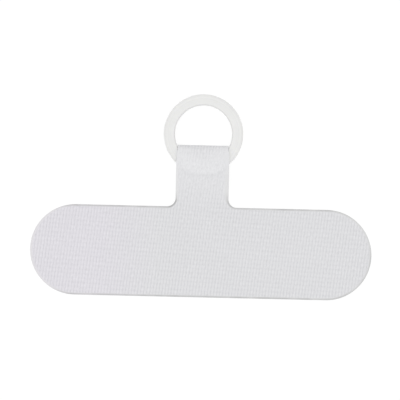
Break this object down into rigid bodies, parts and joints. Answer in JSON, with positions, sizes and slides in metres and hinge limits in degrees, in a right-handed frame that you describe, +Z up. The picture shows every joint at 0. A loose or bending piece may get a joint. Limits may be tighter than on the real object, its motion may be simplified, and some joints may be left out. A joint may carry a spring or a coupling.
{
  "type": "phone lanyard patch",
  "caption": "Thin woven patch with rounded ends that sits inside a phone case, with a tongue folded round a moulded plastic ring that takes a lanyard or wrist strap.",
  "frame": {"origin": "middle of the whole part, on the surface that it lies on", "axes": "+X along the patch, +Y from the patch to the ring, +Z up out of the front face"},
  "size_m": [0.065, 0.0386, 0.0025],
  "materials": {
    "woven_cloth": "matt, fine leaning rib weave, die-cut edges",
    "ring_plastic": "satin, natural milky moulded plastic"
  },
  "bodies": {
    "patch": {"patch": "woven_cloth"},
    "ring": {"ring": "ring_plastic"}
  },
  "joints": [
    {"name": "ring_turn", "type": "hinge", "parent": "patch", "child": "ring", "pos_m": [0, 0.01177, 0.00125], "axis": [0, 0, 1], "continuous": true}
  ]
}
